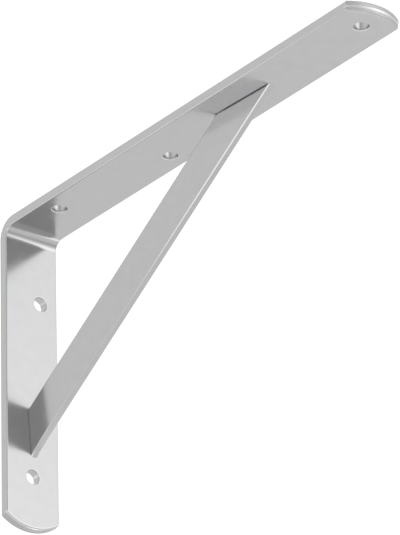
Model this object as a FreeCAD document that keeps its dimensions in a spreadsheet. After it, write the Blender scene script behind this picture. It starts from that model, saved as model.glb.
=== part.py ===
"""Gallows shelf bracket: a flat bar bent to a right angle, braced by a strut set on edge.

Millimetres. X runs out from the wall, Y across the bracket and Z up. The origin lies on the wall
face, in the middle of the bar's width and level with the upper wall screw.
"""

import FreeCAD, Part
import math
import os
from enum import IntEnum

import Sketcher
from FreeCAD import Placement, Rotation, Vector

OUTPUT_FOLDER = "parts"

DRIVING_SIZES = [
    ("bar_width", 30.5, "width of the bent bar, across the bracket"),
    ("bar_thickness", 5.0, "thickness of the bent bar"),
    ("shelf_length", 271.0, "wall face to the tip of the shelf arm"),
    ("wall_length", 160.5, "shelf face to the tip of the wall arm"),
    ("bend_radius", 5.3, "inside radius of the bend"),
    ("tip_crown", 5.0, "how far the middle of a rounded tip stands past its corners"),
    ("tip_lean_height", 2.7, "how much of the bar's thickness leans back at a sheared tip"),
    ("tip_lean_depth", 0.75, "how far that leans back, at the bar's inside face"),
    ("bar_edge_radius", 0.8, "rounding of the bar's edges"),
    ("screw_hole", 7.3, "diameter of every screw hole"),
    ("hole_rim_radius", 0.5, "rounding of the screw holes' rims"),
    ("hole_stagger", 5.3, "middle of the bar to a hole that clears the strut"),
    ("shelf_hole_near", 36.0, "wall face to the shelf hole next to the bend"),
    ("shelf_hole_middle", 110.5, "wall face to the middle shelf hole"),
    ("shelf_hole_inset", 13.0, "tip of the shelf arm to its outer hole"),
    ("wall_hole_upper", 41.0, "shelf face to the upper wall hole"),
    ("wall_hole_clearance", 23.1, "middle of the strut's wall end to the lower wall hole"),
    ("strut_width", 20.25, "width of the strut, seen from the side"),
    ("strut_thickness", 3.65, "thickness of the strut, across the bracket"),
    ("strut_shelf_inset", 96.7, "tip of the shelf arm to the middle of the strut's end there"),
    ("strut_wall_inset", 50.1, "tip of the wall arm to the middle of the strut's end there"),
    ("strut_turn", 4.8, "turn of the strut about its own length, in degrees"),
    ("strut_toe_length", 5.0, "how much of the strut's outer edge bends down to a toe at the wall"),
    ("strut_toe_spread", 0.9, "how far the toe reaches down the wall arm, past the straight edge"),
    ("strut_edge_radius", 0.9, "rounding of the strut's long edges"),
]

DERIVED_SIZES = [
    ("shelf_inner_level", "=wall_hole_upper - bar_thickness"),
    ("wall_tip_depth", "=wall_length - wall_hole_upper"),
    ("tip_radius", "=(bar_width ^ 2 / 4 + tip_crown ^ 2) / (2 * tip_crown)"),
    ("tip_cut_width", "=bar_width + 2 * bar_thickness"),
    ("shelf_hole_outer", "=shelf_length - shelf_hole_inset"),
    ("strut_reach", "=shelf_length - strut_shelf_inset"),
    ("strut_drop", "=wall_length - strut_wall_inset"),
    ("wall_hole_spacing", "=strut_drop + wall_hole_clearance - wall_hole_upper"),
    ("strut_run", "=strut_reach - bar_thickness"),
    ("strut_rise", "=strut_drop - bar_thickness"),
    ("strut_slope", "=atan(strut_rise / strut_run)"),
    ("strut_middle_x", "=bar_thickness + strut_run / 2"),
    ("strut_middle_z", "=shelf_inner_level - strut_rise / 2"),
    ("blank_overhang", "=2 * strut_width"),
    ("middle_to_end", "=sqrt(strut_run ^ 2 + strut_rise ^ 2) / 2"),
    ("blank_half", "=middle_to_end + blank_overhang"),
    ("toe_start", "=middle_to_end + strut_width / 2 * tan(strut_slope) - strut_toe_length"),
    ("toe_along", "=strut_toe_length + strut_toe_spread * sin(strut_slope)"),
    ("toe_out", "=strut_toe_spread * cos(strut_slope)"),
    ("toe_radius", "=(toe_along ^ 2 + toe_out ^ 2) / (2 * toe_out)"),
    ("toe_past", "=toe_along + strut_thickness"),
    ("mitre_cut_right", "=strut_reach + blank_overhang + strut_width"),
    ("mitre_cut_depth", "=strut_drop + blank_overhang"),
]

# Which way each hole lies from the middle of the bar, and the size that places it along the arm.
SHELF_HOLES = [("shelf_hole_near", -1), ("shelf_hole_middle", 1), ("shelf_hole_outer", 0)]
WALL_HOLES = [(None, 1), ("wall_hole_spacing", 0)]

# Faces that meet at less than this angle, in radians, meet without a rounding between them.
SMALLEST_CORNER = 0.4

# Millimetres: anything nearer than this counts as being in the same place.
SAME_PLACE = 1e-4


class Point(IntEnum):
    """The points of an edge, as a sketch numbers them."""

    START = 1
    END = 2
    CENTRE = 3


class Axis(IntEnum):
    """A sketch's own axes, as it numbers them."""

    X = -1
    Y = -2


ORIGIN_POINT = (Axis.X, Point.START)


def make_sheet(doc):
    """The spreadsheet that every size in the model is bound to."""
    sheet = doc.addObject("Spreadsheet::Sheet", "Sizes")
    rows = [(name, str(value), note) for name, value, note in DRIVING_SIZES]
    rows += [(name, formula, "worked out from the sizes above") for name, formula in DERIVED_SIZES]
    for row, (name, content, note) in enumerate(rows, start=1):
        sheet.set(f"A{row}", name)
        sheet.set(f"B{row}", content)
        sheet.set(f"C{row}", note)
        sheet.setAlias(f"B{row}", name)
    doc.recompute()
    return sheet


def new_body(doc, label):
    """An empty body, named as its piece."""
    body = doc.addObject("PartDesign::Body", label)
    body.Label = label
    body.Placement = Placement(Vector(0, 0, 0), Rotation())
    return body


def new_sketch(body, name, role, quarter_turns=0):
    """An empty sketch on one of the body's own base planes, turned within that plane."""
    plane = next(item for item in body.Origin.OriginFeatures if item.Role == role)
    sketch = body.newObject("Sketcher::SketchObject", name)
    sketch.AttachmentSupport = [(plane, "")]
    sketch.MapMode = "FlatFace"
    turn = Rotation(Vector(0, 0, 1), 90 * quarter_turns)
    sketch.AttachmentOffset = Placement(Vector(0, 0, 0), turn)
    return sketch


def size_of(sketch, name):
    """The value that a cell of the sheet holds now."""
    return float(getattr(sketch.Document.Sizes, name))


def hold(sketch, kind, *references):
    """Adds a constraint that has no size."""
    sketch.addConstraint(Sketcher.Constraint(kind, *references))


def measure(sketch, kind, references, formula, value):
    """Adds a dimension, drawn at value, and binds it to the sheet."""
    index = sketch.addConstraint(Sketcher.Constraint(kind, *references, value))
    sketch.setExpression(f"Constraints[{index}]", formula)


def line(start, end):
    """A straight edge of a sketch, between two (x, y) points."""
    return Part.LineSegment(Vector(*start, 0), Vector(*end, 0))


def arc(centre, radius, first_angle, last_angle):
    """A round edge of a sketch, run anticlockwise between two angles."""
    circle = Part.Circle(Vector(*centre, 0), Vector(0, 0, 1), radius)
    return Part.ArcOfCircle(circle, first_angle, last_angle)


def add_chain(sketch, edges):
    """Adds edges that follow one another, and closes them into an outline."""
    added = [sketch.addGeometry(edge, False) for edge in edges]
    for here, after in zip(added, added[1:] + added[:1]):
        hold(sketch, "Coincident", here, Point.END, after, Point.START)
    return added


def through_cut(body, sketch, name):
    """Cuts the sketch's outline right through the body, both ways."""
    cut = body.newObject("PartDesign::Pocket", name)
    cut.Profile = sketch
    cut.Type = "ThroughAll"
    cut.SideType = "Symmetric"
    return cut


def sharp_edges(shape):
    """The names and curves of the edges where two faces meet at an angle."""
    found = []
    for number, edge in enumerate(shape.Edges, start=1):
        beside = [face for face in shape.Faces if any(edge.isSame(side) for side in face.Edges)]
        if len(beside) != 2:
            continue
        middle = edge.valueAt((edge.FirstParameter + edge.LastParameter) / 2)
        normals = [face.normalAt(*face.Surface.parameter(middle)) for face in beside]
        if normals[0].getAngle(normals[1]) > SMALLEST_CORNER:
            found.append((f"Edge{number}", edge))
    return found


def round_edges(body, base, name, radius_name, rims_only=False):
    """Rounds the sharp edges of the feature before, or only the rims of its round holes."""
    body.Document.recompute()
    edges = sharp_edges(base.Shape)
    if rims_only:
        edges = [(key, edge) for key, edge in edges if edge.isClosed()]
    fillet = body.newObject("PartDesign::Fillet", name)
    fillet.Base = (base, [key for key, edge in edges])
    fillet.setExpression("Radius", f"Sizes.{radius_name}")
    return fillet


def draw_bar_profile(body):
    """The bar from the side: two arms at a right angle, and the bend between them."""
    sketch = new_sketch(body, "BarProfile", "XZ_Plane")
    length, top = size_of(sketch, "shelf_length"), size_of(sketch, "wall_hole_upper")
    depth, thick = size_of(sketch, "wall_tip_depth"), size_of(sketch, "bar_thickness")
    inner_radius = size_of(sketch, "bend_radius")
    outer_radius = inner_radius + thick
    bend_x, bend_z = outer_radius, top - outer_radius
    # Anticlockwise from the bend: down the back of the wall arm, and home along the shelf face.
    outer_bend, back, foot, wall_inside = [
        sketch.addGeometry(edge, False)
        for edge in (
            arc((bend_x, bend_z), outer_radius, math.pi / 2, math.pi),
            line((0, bend_z), (0, -depth)),
            line((0, -depth), (thick, -depth)),
            line((thick, -depth), (thick, bend_z)),
        )
    ]
    inner_bend, shelf_inside, tip, shelf_face = [
        sketch.addGeometry(edge, False)
        for edge in (
            arc((bend_x, bend_z), inner_radius, math.pi / 2, math.pi),
            line((bend_x, top - thick), (length, top - thick)),
            line((length, top - thick), (length, top)),
            line((length, top), (bend_x, top)),
        )
    ]
    for here, after in ((back, foot), (foot, wall_inside), (shelf_inside, tip), (tip, shelf_face)):
        hold(sketch, "Coincident", here, Point.END, after, Point.START)
    hold(sketch, "Tangent", outer_bend, Point.END, back, Point.START)
    hold(sketch, "Tangent", wall_inside, Point.END, inner_bend, Point.END)
    hold(sketch, "Tangent", inner_bend, Point.START, shelf_inside, Point.START)
    hold(sketch, "Tangent", shelf_face, Point.END, outer_bend, Point.START)
    hold(sketch, "Coincident", inner_bend, Point.CENTRE, outer_bend, Point.CENTRE)
    for level in (foot, shelf_inside, shelf_face):
        hold(sketch, "Horizontal", level)
    for upright in (back, wall_inside, tip):
        hold(sketch, "Vertical", upright)
    hold(sketch, "PointOnObject", back, Point.END, Axis.Y)
    tip_point = (shelf_face, Point.START)
    measure(sketch, "DistanceX", (*ORIGIN_POINT, *tip_point), "Sizes.shelf_length", length)
    measure(sketch, "DistanceY", (*ORIGIN_POINT, *tip_point), "Sizes.wall_hole_upper", top)
    measure(sketch, "DistanceY", (foot, Point.START, *ORIGIN_POINT), "Sizes.wall_tip_depth", depth)
    measure(sketch, "DistanceY", (tip, Point.START, tip, Point.END), "Sizes.bar_thickness", thick)
    measure(sketch, "Radius", (inner_bend,), "Sizes.bend_radius", inner_radius)
    return sketch


def draw_tip_cut(sketch, tip_name):
    """What lies outside a rounded tip. The arm runs along the sketch's X axis, out to tip_name."""
    reach, radius = size_of(sketch, tip_name), size_of(sketch, "tip_radius")
    width, cut_width = size_of(sketch, "bar_width"), size_of(sketch, "tip_cut_width")
    crown, margin = size_of(sketch, "tip_crown"), size_of(sketch, "bar_thickness")
    side, beyond = width / 2, cut_width / 2
    corner, outer, centre = reach - crown, reach + margin, reach - radius
    half_angle = math.asin(side / radius)
    tip, upper_step, upper, end, lower, lower_step = add_chain(
        sketch,
        [
            arc((centre, 0), radius, -half_angle, half_angle),
            line((corner, side), (corner, beyond)),
            line((corner, beyond), (outer, beyond)),
            line((outer, beyond), (outer, -beyond)),
            line((outer, -beyond), (corner, -beyond)),
            line((corner, -beyond), (corner, -side)),
        ],
    )
    for across in (upper_step, end, lower_step):
        hold(sketch, "Vertical", across)
    for along in (upper, lower):
        hold(sketch, "Horizontal", along)
    hold(sketch, "PointOnObject", tip, Point.CENTRE, Axis.X)
    hold(sketch, "Symmetric", upper, Point.START, lower, Point.END, Axis.X)
    centre_formula = f"Sizes.{tip_name} - Sizes.tip_radius"
    outer_formula = f"Sizes.{tip_name} + Sizes.bar_thickness"
    measure(sketch, "Radius", (tip,), "Sizes.tip_radius", radius)
    measure(sketch, "DistanceX", (*ORIGIN_POINT, tip, Point.CENTRE), centre_formula, centre)
    measure(sketch, "DistanceX", (*ORIGIN_POINT, end, Point.START), outer_formula, outer)
    measure(sketch, "DistanceY", (tip, Point.START, tip, Point.END), "Sizes.bar_width", width)
    measure(sketch, "DistanceY", (end, Point.END, end, Point.START), "Sizes.tip_cut_width", cut_width)


def draw_holes(sketch, holes):
    """Screw holes of one arm, which runs along the sketch's X axis."""
    radius, stagger = size_of(sketch, "screw_hole") / 2, size_of(sketch, "hole_stagger")
    for along_name, side in holes:
        along = size_of(sketch, along_name) if along_name else 0
        centre = Vector(along, side * stagger, 0)
        hole = sketch.addGeometry(Part.Circle(centre, Vector(0, 0, 1), radius), False)
        measure(sketch, "Diameter", (hole,), "Sizes.screw_hole", 2 * radius)
        if along_name:
            ends = (*ORIGIN_POINT, hole, Point.CENTRE)
            measure(sketch, "DistanceX", ends, f"Sizes.{along_name}", along)
        else:
            hold(sketch, "PointOnObject", hole, Point.CENTRE, Axis.Y)
        if side:
            ends = (*ORIGIN_POINT, hole, Point.CENTRE) if side > 0 else (hole, Point.CENTRE, *ORIGIN_POINT)
            measure(sketch, "DistanceY", ends, "Sizes.hole_stagger", stagger)
        else:
            hold(sketch, "PointOnObject", hole, Point.CENTRE, Axis.X)


def lean_tips(body, base):
    """Leans the inside part of both tips back, where the bar tore as it was sheared."""
    body.Document.recompute()
    sizes = body.Document.Sizes
    keys = []
    for number, edge in enumerate(base.Shape.Edges, start=1):
        box = edge.BoundBox
        round_tip = isinstance(edge.Curve, Part.Circle)
        round_tip = round_tip and abs(edge.Curve.Radius - sizes.tip_radius) < SAME_PLACE
        on_wall_arm = max(abs(x - sizes.bar_thickness) for x in (box.XMin, box.XMax)) < SAME_PLACE
        on_shelf_arm = max(abs(z - sizes.shelf_inner_level) for z in (box.ZMin, box.ZMax)) < SAME_PLACE
        if round_tip and (on_wall_arm or on_shelf_arm):
            keys.append(f"Edge{number}")
    lean = body.newObject("PartDesign::Chamfer", "TipLean")
    lean.Base = (base, keys)
    lean.ChamferType = "Two distances"
    lean.setExpression("Size", "Sizes.tip_lean_height")
    lean.setExpression("Size2", "Sizes.tip_lean_depth")
    return lean


def make_bent_bar(doc):
    """The flat bar: cut to length with rounded tips, drilled, bent once, its edges rounded."""
    body = new_body(doc, "bent_bar")
    bar = body.newObject("PartDesign::Pad", "BarPad")
    bar.Profile = draw_bar_profile(body)
    bar.SideType = "Symmetric"
    bar.setExpression("Length", "Sizes.bar_width")
    # On the wall arm the sketch is turned, so that its X axis runs down the arm.
    for arm, role, turns, tip_name, holes in (
        ("Shelf", "XY_Plane", 0, "shelf_length", SHELF_HOLES),
        ("Wall", "YZ_Plane", -1, "wall_tip_depth", WALL_HOLES),
    ):
        tip_sketch = new_sketch(body, f"{arm}TipOutline", role, turns)
        draw_tip_cut(tip_sketch, tip_name)
        through_cut(body, tip_sketch, f"{arm}TipCut")
        hole_sketch = new_sketch(body, f"{arm}HolePlan", role, turns)
        draw_holes(hole_sketch, holes)
        drilled = through_cut(body, hole_sketch, f"{arm}Holes")
    rims = round_edges(body, drilled, "HoleRims", "hole_rim_radius", rims_only=True)
    leaning = lean_tips(body, rims)
    round_edges(body, leaning, "BarEdges", "bar_edge_radius")
    return body


def draw_strut_outline(body):
    """The strut from the side, run past both arms, with the toe of its outer edge at the wall."""
    sketch = new_sketch(body, "StrutOutline", "XZ_Plane")
    # The sketch lies along the strut, its X axis up the slope, and turns with the strip.
    middle = "create(<<vector>>; Sizes.strut_middle_x; Sizes.strut_middle_z; 0)"
    turned = "create(<<rotation>>; Sizes.strut_slope; 0; Sizes.strut_turn)"
    sketch.setExpression("AttachmentOffset", f"create(<<placement>>; {middle}; {turned})")
    half, edge = size_of(sketch, "blank_half"), size_of(sketch, "strut_width") / 2
    start, past = size_of(sketch, "toe_start"), size_of(sketch, "toe_past")
    radius = size_of(sketch, "toe_radius")
    sweep = math.asin(past / radius)
    toe_end = (-start - past, -edge - radius * (1 - math.cos(sweep)))
    run_end = (-half, toe_end[1] - (half - start - past) * math.tan(sweep))
    toe_centre = (-start, -edge - radius)
    inner, wall_end, toe_run, toe, outer, shelf_end = [
        sketch.addGeometry(item, False)
        for item in (
            line((half, edge), (-half, edge)),
            line((-half, edge), run_end),
            line(run_end, toe_end),
            arc(toe_centre, radius, math.pi / 2, math.pi / 2 + sweep),
            line((-start, -edge), (half, -edge)),
            line((half, -edge), (half, edge)),
        )
    ]
    for here, after in ((inner, wall_end), (wall_end, toe_run), (outer, shelf_end), (shelf_end, inner)):
        hold(sketch, "Coincident", here, Point.END, after, Point.START)
    hold(sketch, "Tangent", toe_run, Point.END, toe, Point.END)
    hold(sketch, "Tangent", toe, Point.START, outer, Point.START)
    hold(sketch, "Symmetric", inner, Point.START, inner, Point.END, Axis.Y)
    hold(sketch, "Horizontal", outer)
    for across in (wall_end, shelf_end):
        hold(sketch, "Vertical", across)
    inner_ends = (inner, Point.END, inner, Point.START)
    toe_ends = (toe, Point.END, toe, Point.START)
    measure(sketch, "DistanceX", inner_ends, "2 * Sizes.blank_half", 2 * half)
    measure(sketch, "DistanceX", (toe, Point.START, *ORIGIN_POINT), "Sizes.toe_start", start)
    measure(sketch, "DistanceX", toe_ends, "Sizes.toe_past", past)
    measure(sketch, "DistanceY", (*ORIGIN_POINT, inner, Point.START), "Sizes.strut_width / 2", edge)
    measure(sketch, "DistanceY", (toe, Point.START, *ORIGIN_POINT), "Sizes.strut_width / 2", edge)
    measure(sketch, "Radius", (toe,), "Sizes.toe_radius", radius)
    return sketch


def draw_mitre_cut(body):
    """Where the bent bar is, and beyond it: the strut stops at the inside faces of both arms."""
    sketch = new_sketch(body, "MitreOutline", "XZ_Plane")
    face_x, face_z = size_of(sketch, "bar_thickness"), size_of(sketch, "shelf_inner_level")
    past = size_of(sketch, "blank_overhang")
    right, depth = size_of(sketch, "mitre_cut_right"), size_of(sketch, "mitre_cut_depth")
    corners = [(face_x, face_z), (face_x, -depth), (-past, -depth)]
    corners += [(-past, face_z + past), (right, face_z + past), (right, face_z)]
    wall_face, foot, left, top, end, shelf_face = add_chain(
        sketch, [line(a, b) for a, b in zip(corners, corners[1:] + corners[:1])]
    )
    for upright in (wall_face, left, end):
        hold(sketch, "Vertical", upright)
    for level in (foot, top, shelf_face):
        hold(sketch, "Horizontal", level)
    inside = (wall_face, Point.START)
    measure(sketch, "DistanceX", (*ORIGIN_POINT, *inside), "Sizes.bar_thickness", face_x)
    measure(sketch, "DistanceY", (*ORIGIN_POINT, *inside), "Sizes.shelf_inner_level", face_z)
    measure(sketch, "DistanceY", (foot, Point.START, *ORIGIN_POINT), "Sizes.mitre_cut_depth", depth)
    measure(sketch, "DistanceX", (left, Point.START, *ORIGIN_POINT), "Sizes.blank_overhang", past)
    measure(sketch, "DistanceY", (end, Point.END, end, Point.START), "Sizes.blank_overhang", past)
    measure(sketch, "DistanceX", (*ORIGIN_POINT, end, Point.END), "Sizes.mitre_cut_right", right)
    return sketch


def make_strut(doc):
    """The diagonal: a thinner flat strip on edge, its ends cut to sit flat against both arms."""
    body = new_body(doc, "strut")
    blank = body.newObject("PartDesign::Pad", "StrutBlank")
    blank.Profile = draw_strut_outline(body)
    blank.SideType = "Symmetric"
    blank.setExpression("Length", "Sizes.strut_thickness")
    round_edges(body, blank, "StrutEdges", "strut_edge_radius")
    through_cut(body, draw_mitre_cut(body), "MitreCut")
    return body


def check(doc, bodies):
    """Stops if any feature failed or any piece isn't one sound solid."""
    failed = [item.Name for item in doc.Objects if {"Invalid", "Error"} & set(item.State)]
    if failed:
        raise RuntimeError(f"failed to build: {', '.join(failed)}")
    for body in bodies:
        shape = body.Shape
        if shape.isNull() or not shape.isValid() or len(shape.Solids) != 1:
            raise RuntimeError(f"{body.Label} isn't one sound solid")


def main():
    doc = FreeCAD.newDocument("GallowsBracket")
    make_sheet(doc)
    bodies = [make_bent_bar(doc), make_strut(doc)]
    doc.recompute()
    check(doc, bodies)
    os.makedirs(OUTPUT_FOLDER, exist_ok=True)
    for body in bodies:
        body.Shape.exportStep(os.path.join(OUTPUT_FOLDER, f"{body.Label}.step"))
        print(body.Label, "volume", round(body.Shape.Volume, 1), "mm3")


main()
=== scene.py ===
"""Looks of the gallows shelf bracket: bright plated steel, seen from below in a soft white studio."""

import math

import bpy
from mathutils import Matrix, Vector

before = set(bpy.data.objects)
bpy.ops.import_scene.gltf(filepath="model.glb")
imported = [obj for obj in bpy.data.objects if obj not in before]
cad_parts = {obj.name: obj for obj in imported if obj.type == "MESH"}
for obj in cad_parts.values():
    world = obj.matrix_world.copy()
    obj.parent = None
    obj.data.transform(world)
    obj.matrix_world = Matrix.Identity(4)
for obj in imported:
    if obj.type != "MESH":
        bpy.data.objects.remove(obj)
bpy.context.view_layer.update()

# Sizes are in metres, but for the lens and its sensor, which are in millimetres. Angles are in
# degrees. A pair of values is a range.

WHITE = (1, 1, 1, 1)

# The camera: azimuth 0 looks along +Y, and a negative elevation looks up from below.
CAMERA_AZIMUTH = 51.56
CAMERA_ELEVATION = -26.17
CAMERA_ROLL = -1.634
CAMERA_DISTANCE = 1.9315
CAMERA_TARGET = (0.12900, 0.00649, -0.02981)
CAMERA_CLIP = (0.05, 100.0)
FOCAL_LENGTH = 281.2
SENSOR_WIDTH = 36.0

# The bracket hangs this far above the floor. The floor is pale, with painted shade around one
# place: it has the first grey out to the start of the shade's reach, and the second grey from its end
# on.
FLOOR_DROP = 3.2
FLOOR_SIZE = 400.0
FLOOR_SHADE_PLACE = (5.1, 4.1, 0)
FLOOR_SHADE_REACH = (1.2, 4.2)
FLOOR_GREYS = (0.585, 0.885)
FLOOR_ROUGHNESS = 0.9

# The studio's surroundings: an even grey, and broad lobes of light or shade, each a direction, a
# sharpness and what it adds.
AMBIENT = 0.88
LOBES = [
    ((-0.70, 0.56, 0.44), 5.0, 0.24),
    ((0.84, 0.50, 0.10), 12.0, 0.80),
    ((0.90, 0.05, 0.42), 22.0, 0.75),
    ((0.80, -0.42, 0.42), 8.0, -0.36),
    ((0.00, 0.00, 1.00), 3.0, 0.12),
]

# Soft boxes: name, place, which way their width runs, width, height and brightness.
SOFT_BOXES = [
    ("strut_edge_box", (0.180, -0.450, -0.367), (0.849, 0.0, 0.528), 0.20, 0.80, 0.78),
    ("joint_box", (-0.180, -0.275, -0.184), (0.62, -0.78, 0.0), 0.24, 0.22, 0.42),
    ("far_right_box", (1.25, 0.80, -0.12), (-0.54, 0.84, 0.0), 0.55, 0.45, 0.25),
    ("low_tip_box", (-0.32, 0.68, -0.92), (0.90, 0.43, 0.0), 0.45, 0.45, 0.6),
]

# The plating: its colour and roughness vary together with a faint mottle, and its relief is that
# of the strip's waves and grain. Each of the three is a noise with a size and a detail.
METAL_COLOURS = ((0.535, 0.535, 0.540, 1), (0.555, 0.555, 0.560, 1))
METAL_ROUGHNESS = (0.175, 0.205)
MOTTLE_SIZE, MOTTLE_DETAIL = 0.006, 3.0
WAVE_SIZE, WAVE_DETAIL, WAVE_DEPTH = 0.018, 1.0, 0.000008
GRAIN_SIZE, GRAIN_DETAIL, GRAIN_DEPTH = 0.0006, 4.0, 0.0000004
NOISE_RANGE = (0.3, 0.7)
WHOLE_RANGE = (0.0, 1.0)

# The bar's sheared tips, dull where they were cut, with a painted highlight in a band across them:
# - centre and plane are those of the tip's arc,
# - onward is the way the arm runs, and the tip starts that far out along it,
# - through is the way through the bar's thickness, along which the highlight band lies.
SHEARED_TIPS = [
    {
        "centre": (0.24524, 0, 0),
        "plane": (1, 1, 0),
        "onward": (1, 0, 0),
        "start": 0.262,
        "through": (0, 0, 1),
        "band_middle": 0.0381,
        "band_half_width": 0.0005,
    },
    {
        "centre": (0, 0, -0.09374),
        "plane": (0, 1, 1),
        "onward": (0, 0, -1),
        "start": 0.1105,
        "through": (1, 0, 0),
        "band_middle": 0.0046,
        "band_half_width": 0.0007,
    },
]

# How far from the arc's centre the cut part and the band with the painted highlight begin, the cut
# part's finish, and the colour of the band's painted highlight.
SHEARED_START = 0.0252
SHEARED_COLOUR = (0.49, 0.49, 0.495, 1)
SHEARED_ROUGHNESS = 0.45
BAND_HIGHLIGHT_START = 0.0243
BAND_HIGHLIGHT_COLOUR = (0.66, 0.66, 0.665, 1)

# The holes: a point on each one's axis and the plane across it. Their rounded rims, which get a
# painted highlight, lie around this radius.
HOLES = [
    ((0.0360, -0.0053, 0), (1, 1, 0)),
    ((0.1105, 0.0053, 0), (1, 1, 0)),
    ((0.2580, 0, 0), (1, 1, 0)),
    ((0, 0.0053, 0), (0, 1, 1)),
    ((0, 0, -0.0925), (0, 1, 1)),
]
RIM_RADIUS = 0.00394
RIM_HALF_WIDTH = 0.00027
RIM_HIGHLIGHT_COLOUR = (0.66, 0.66, 0.665, 1)

# Crevices get painted shade: how far off the faces that shade them lie at most, the range of openness
# over which they lighten, and the share of the colour that is left at its start and at its end.
CREVICE_REACH = 0.0016
CREVICE_SAMPLES = 16
CREVICE_OPENNESS = (0.5, 0.85)
CREVICE_SHADE = (0.03, 1.0)

# The painted shade in crevices shows by the first share up to the start of this range of X, and by
# the second beyond its end.
CREVICE_SHADE_RISE = (0.152, 0.164)
CREVICE_SHADE_SHARE = (0.2, 1.0)


def new_material(name):
    """A node material and its node tree."""
    material = bpy.data.materials.new(name)
    material.use_nodes = True
    return material, material.node_tree


def coordinates(tree, kind):
    """Object coordinates of a surface, or Generated ones, which in the world are directions."""
    return tree.nodes.new("ShaderNodeTexCoord").outputs[kind]


def feed(tree, socket, source):
    """Links the socket to a node's output, or sets it to a plain number or colour."""
    if isinstance(source, bpy.types.NodeSocket):
        tree.links.new(source, socket)
    else:
        socket.default_value = source


def noise(tree, where, size, detail):
    """A noise with features of about this size, over these coordinates."""
    node = tree.nodes.new("ShaderNodeTexNoise")
    node.inputs["Scale"].default_value = 1.0 / size
    node.inputs["Detail"].default_value = detail
    tree.links.new(where, node.inputs["Vector"])
    return node.outputs["Fac"]


def spread(tree, value, source, target):
    """Maps a value from one range onto another, and not beyond it."""
    node = tree.nodes.new("ShaderNodeMapRange")
    node.inputs["From Min"].default_value, node.inputs["From Max"].default_value = source
    node.inputs["To Min"].default_value, node.inputs["To Max"].default_value = target
    tree.links.new(value, node.inputs["Value"])
    return node.outputs["Result"]


def math_node(tree, operation, *values):
    """A calculation or comparison with values that are each linked or plain."""
    node = tree.nodes.new("ShaderNodeMath")
    node.operation = operation
    for socket, value in zip(node.inputs, values):
        feed(tree, socket, value)
    return node.outputs[0]


def vector_node(tree, operation, first, second):
    """A vector's product or dot product with, or distance from, a plain vector."""
    node = tree.nodes.new("ShaderNodeVectorMath")
    node.operation = operation
    tree.links.new(first, node.inputs[0])
    node.inputs[1].default_value = second
    return node.outputs["Vector" if operation == "MULTIPLY" else "Value"]


def mix(tree, kind, factor, first, second, blend="MIX"):
    """Two colours (RGBA) or numbers (FLOAT), each linked or plain, mixed by a linked factor."""
    node = tree.nodes.new("ShaderNodeMix")
    node.data_type = kind
    node.blend_type = blend
    feed(tree, node.inputs["Factor"], factor)
    feed(tree, node.inputs["A"], first)
    feed(tree, node.inputs["B"], second)
    return node.outputs["Result"]


def bump(tree, height, depth, before=None):
    """A relief of this depth, over any relief before it."""
    node = tree.nodes.new("ShaderNodeBump")
    node.inputs["Strength"].default_value = 1.0
    node.inputs["Distance"].default_value = depth
    tree.links.new(height, node.inputs["Height"])
    if before is not None:
        tree.links.new(before, node.inputs["Normal"])
    return node.outputs["Normal"]


def any_of(tree, masks):
    """One mask that covers all that these masks cover."""
    total = masks[0]
    for mask in masks[1:]:
        total = math_node(tree, "MAXIMUM", total, mask)
    return total


def distance_in_plane(tree, where, centre, plane):
    """How far a place lies from the centre, seen square to the plane."""
    flat = vector_node(tree, "MULTIPLY", where, plane)
    return vector_node(tree, "DISTANCE", flat, centre)


def tip_masks(tree, where):
    """Two masks over the tips: where they were sheared dull, and the band where a highlight is
    painted.
    """
    sheared, highlight_band = [], []
    for tip in SHEARED_TIPS:
        reach = distance_in_plane(tree, where, tip["centre"], tip["plane"])
        run = vector_node(tree, "DOT_PRODUCT", where, tip["onward"])
        on_tip = math_node(tree, "GREATER_THAN", run, tip["start"])
        level = vector_node(tree, "DOT_PRODUCT", where, tip["through"])
        off_middle = math_node(tree, "SUBTRACT", level, tip["band_middle"])
        off_middle = math_node(tree, "ABSOLUTE", off_middle)
        beside_band = math_node(tree, "GREATER_THAN", off_middle, tip["band_half_width"])
        in_band = math_node(tree, "LESS_THAN", off_middle, tip["band_half_width"])
        parts = ((sheared, SHEARED_START, beside_band), (highlight_band, BAND_HIGHLIGHT_START, in_band))
        for masks, start, level_mask in parts:
            edge = math_node(tree, "GREATER_THAN", reach, start)
            edge = math_node(tree, "MULTIPLY", edge, on_tip)
            masks.append(math_node(tree, "MULTIPLY", edge, level_mask))
    return any_of(tree, sheared), any_of(tree, highlight_band)


def rim_highlight_mask(tree, where):
    """A mask over the rounded rims of the holes, where a highlight is painted."""
    rims = []
    for centre, plane in HOLES:
        reach = distance_in_plane(tree, where, centre, plane)
        rims.append(math_node(tree, "COMPARE", reach, RIM_RADIUS, RIM_HALF_WIDTH))
    return any_of(tree, rims)


def plating(tree, where):
    """The colour and roughness of the plating, with its mottle."""
    mottle = noise(tree, where, MOTTLE_SIZE, MOTTLE_DETAIL)
    colour = mix(tree, "RGBA", spread(tree, mottle, NOISE_RANGE, WHOLE_RANGE), *METAL_COLOURS)
    return colour, spread(tree, mottle, NOISE_RANGE, METAL_ROUGHNESS)


def mark_tips_and_rims(tree, where, colour, roughness):
    """The bar's colour and roughness with its sheared tips, and painted highlights on a band of the
    tips and on the hole rims.
    """
    sheared, highlight_band = tip_masks(tree, where)
    colour = mix(tree, "RGBA", sheared, colour, SHEARED_COLOUR)
    # Painted highlight along the band on the tips.
    colour = mix(tree, "RGBA", highlight_band, colour, BAND_HIGHLIGHT_COLOUR)
    # Painted highlight on the hole rims.
    colour = mix(tree, "RGBA", rim_highlight_mask(tree, where), colour, RIM_HIGHLIGHT_COLOUR)
    return colour, mix(tree, "FLOAT", sheared, roughness, SHEARED_ROUGHNESS)


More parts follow.
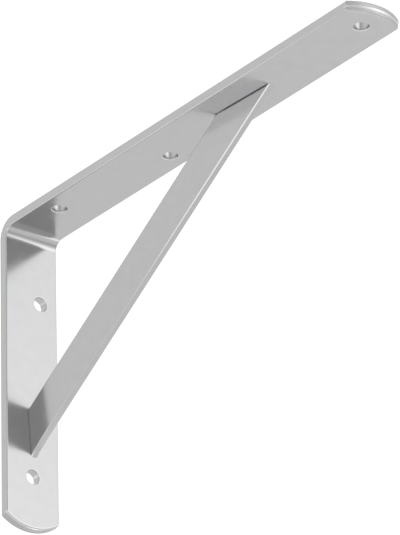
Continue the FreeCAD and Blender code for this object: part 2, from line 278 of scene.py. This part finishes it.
def shade_crevices(tree, where, colour):
    """The colour darkened by painted shade in crevices, by more beyond a given X."""
    openness = tree.nodes.new("ShaderNodeAmbientOcclusion")
    openness.samples = CREVICE_SAMPLES
    openness.inputs["Distance"].default_value = CREVICE_REACH
    shade = spread(tree, openness.outputs["AO"], CREVICE_OPENNESS, CREVICE_SHADE)
    outward = vector_node(tree, "DOT_PRODUCT", where, (1, 0, 0))
    share = spread(tree, outward, CREVICE_SHADE_RISE, CREVICE_SHADE_SHARE)
    # Painted shade in the crevices.
    return mix(tree, "RGBA", share, colour, shade, "MULTIPLY")


def strip_relief(tree, where):
    """The faint waves of the strip, with its grain over them."""
    waves = bump(tree, noise(tree, where, WAVE_SIZE, WAVE_DETAIL), WAVE_DEPTH)
    return bump(tree, noise(tree, where, GRAIN_SIZE, GRAIN_DETAIL), GRAIN_DEPTH, waves)


def plated_steel(name, is_bar):
    """Bright plated steel. The bar's has sheared tips, and painted highlights on a band of its tips
    and on its hole rims, as well.
    """
    material, tree = new_material(name)
    where = coordinates(tree, "Object")
    colour, roughness = plating(tree, where)
    if is_bar:
        colour, roughness = mark_tips_and_rims(tree, where, colour, roughness)
    shader = tree.nodes["Principled BSDF"]
    shader.inputs["Metallic"].default_value = 1.0
    tree.links.new(shade_crevices(tree, where, colour), shader.inputs["Base Color"])
    tree.links.new(roughness, shader.inputs["Roughness"])
    tree.links.new(strip_relief(tree, where), shader.inputs["Normal"])
    return material


def floor_paint_and_shade():
    """Matt pale paint, with painted shade around one place."""
    material, tree = new_material("floor_paint_and_shade")
    shader = tree.nodes["Principled BSDF"]
    shader.inputs["Roughness"].default_value = FLOOR_ROUGHNESS
    # Painted shade darkens the floor around one place.
    reach = vector_node(tree, "DISTANCE", coordinates(tree, "Object"), FLOOR_SHADE_PLACE)
    ramp = tree.nodes.new("ShaderNodeValToRGB")
    ramp.color_ramp.interpolation = "EASE"
    for element, grey in zip(ramp.color_ramp.elements, FLOOR_GREYS):
        element.color = (grey, grey, grey, 1)
    tree.links.new(spread(tree, reach, FLOOR_SHADE_REACH, WHOLE_RANGE), ramp.inputs["Fac"])
    tree.links.new(ramp.outputs["Color"], shader.inputs["Base Color"])
    return material


def add_floor():
    """A pale floor with painted shade around one place, well below the bracket."""
    bpy.ops.mesh.primitive_plane_add(size=FLOOR_SIZE, location=(0, 0, -FLOOR_DROP))
    floor = bpy.context.object
    floor.name = "floor"
    floor.data.materials.append(floor_paint_and_shade())


def lobe_light(tree, where, direction, sharpness, strength):
    """What a lobe adds: its strength towards one direction, falling off smoothly around it."""
    facing = vector_node(tree, "DOT_PRODUCT", where, Vector(direction).normalized())
    facing = math_node(tree, "MAXIMUM", facing, 0.0)
    falloff = math_node(tree, "POWER", facing, sharpness)
    return math_node(tree, "MULTIPLY", falloff, strength)


def add_world():
    """The studio's walls and ceiling, as one smooth surrounding."""
    world = bpy.data.worlds.new("studio")
    world.use_nodes = True
    tree = world.node_tree
    where = coordinates(tree, "Generated")
    total = AMBIENT
    for lobe in LOBES:
        total = math_node(tree, "ADD", total, lobe_light(tree, where, *lobe))
    background = tree.nodes["Background"]
    background.inputs["Color"].default_value = WHITE
    tree.links.new(total, background.inputs["Strength"])
    bpy.context.scene.world = world


def add_soft_box(name, place, widthways, width, height, brightness):
    """A soft box that faces the bracket. A brightness of 1 is as bright as white."""
    data = bpy.data.lights.new(name, "AREA")
    data.shape = "RECTANGLE"
    data.size, data.size_y = width, height
    data.energy = brightness * math.pi * width * height
    light = bpy.data.objects.new(name, data)
    bpy.context.scene.collection.objects.link(light)
    away = (Vector(place) - Vector(CAMERA_TARGET)).normalized()
    upward = away.cross(Vector(widthways)).normalized()
    turned = Matrix((upward.cross(away), upward, away)).transposed()
    light.matrix_world = Matrix.Translation(place) @ turned.to_4x4()
    light.visible_camera = False


def add_camera():
    """The camera, where the photograph was taken from."""
    azimuth, elevation = math.radians(CAMERA_AZIMUTH), math.radians(CAMERA_ELEVATION)
    back = Vector(
        (
            math.sin(azimuth) * math.cos(elevation),
            -math.cos(azimuth) * math.cos(elevation),
            math.sin(elevation),
        )
    )
    data = bpy.data.cameras.new("photo_camera")
    data.lens = FOCAL_LENGTH
    data.sensor_width = SENSOR_WIDTH
    data.clip_start, data.clip_end = CAMERA_CLIP
    camera = bpy.data.objects.new("photo_camera", data)
    bpy.context.scene.collection.objects.link(camera)
    camera.location = Vector(CAMERA_TARGET) + back * CAMERA_DISTANCE
    upright = (-back).to_track_quat("-Z", "Y").to_matrix()
    roll = Matrix.Rotation(math.radians(CAMERA_ROLL), 3, "Z")
    camera.rotation_euler = (upright @ roll).to_euler()
    bpy.context.scene.camera = camera


def dress_pieces():
    """Gives each piece its finish."""
    for name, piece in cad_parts.items():
        piece.data.materials.clear()
        piece.data.materials.append(plated_steel(f"{name}_finish", name == "bent_bar"))


dress_pieces()
add_floor()
add_world()
for soft_box in SOFT_BOXES:
    add_soft_box(*soft_box)
add_camera()
bpy.context.scene.view_settings.view_transform = "Standard"
